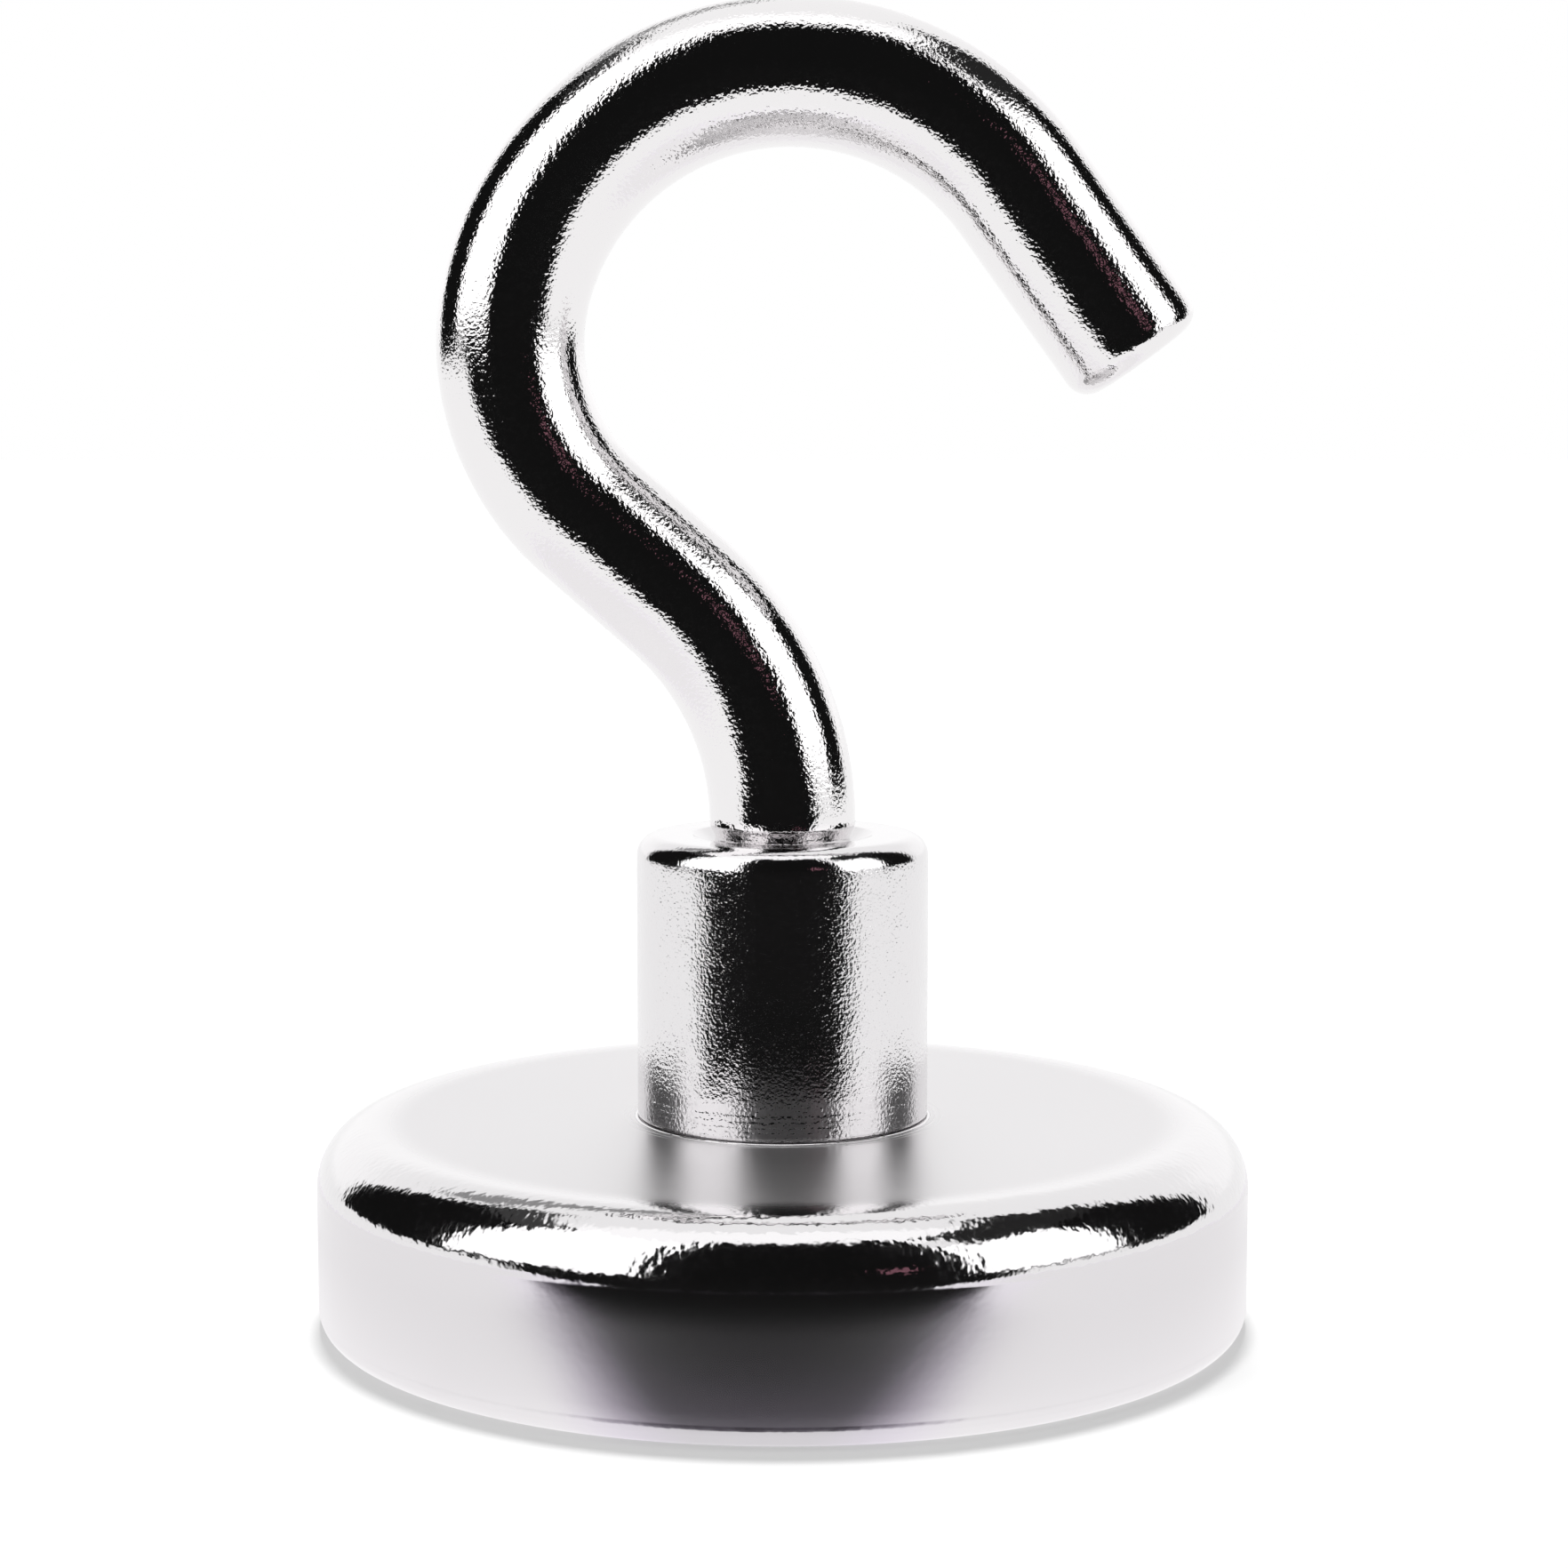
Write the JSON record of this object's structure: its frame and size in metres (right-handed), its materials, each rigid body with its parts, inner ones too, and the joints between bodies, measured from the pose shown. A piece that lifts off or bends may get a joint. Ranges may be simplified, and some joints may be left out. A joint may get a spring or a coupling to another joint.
{
  "type": "magnetic hook",
  "caption": "Round pot magnet with a threaded bush and a screwed-in bent wire hook, for hanging things from steel.",
  "frame": {"origin": "middle of the pot's open face, which grips the steel", "axes": "+Z along the pot's axis towards the hook, +X towards the side on which the hook's tip lies"},
  "size_m": [0.032, 0.032, 0.045],
  "materials": {
    "pot_plating": "bright nickel plating on turned steel",
    "magnet_plating": "dull nickel plating on a sintered magnet",
    "adhesive": "cured dark epoxy",
    "bush_plating": "bright nickel plating on turned steel",
    "hook_plating": "bright nickel plating on drawn wire"
  },
  "bodies": {
    "magnet_base": {"pot_shell": "pot_plating", "disc_magnet": "magnet_plating", "adhesive_bond": "adhesive", "threaded_bush": "bush_plating"},
    "screw_hook": {"hook": "hook_plating"}
  },
  "joints": [
    {"name": "hook_turn", "type": "hinge", "parent": "magnet_base", "child": "screw_hook", "pos_m": [0, 0, 0.0168], "axis": [0, 0, 1], "range_deg": [-180, 180]}
  ]
}
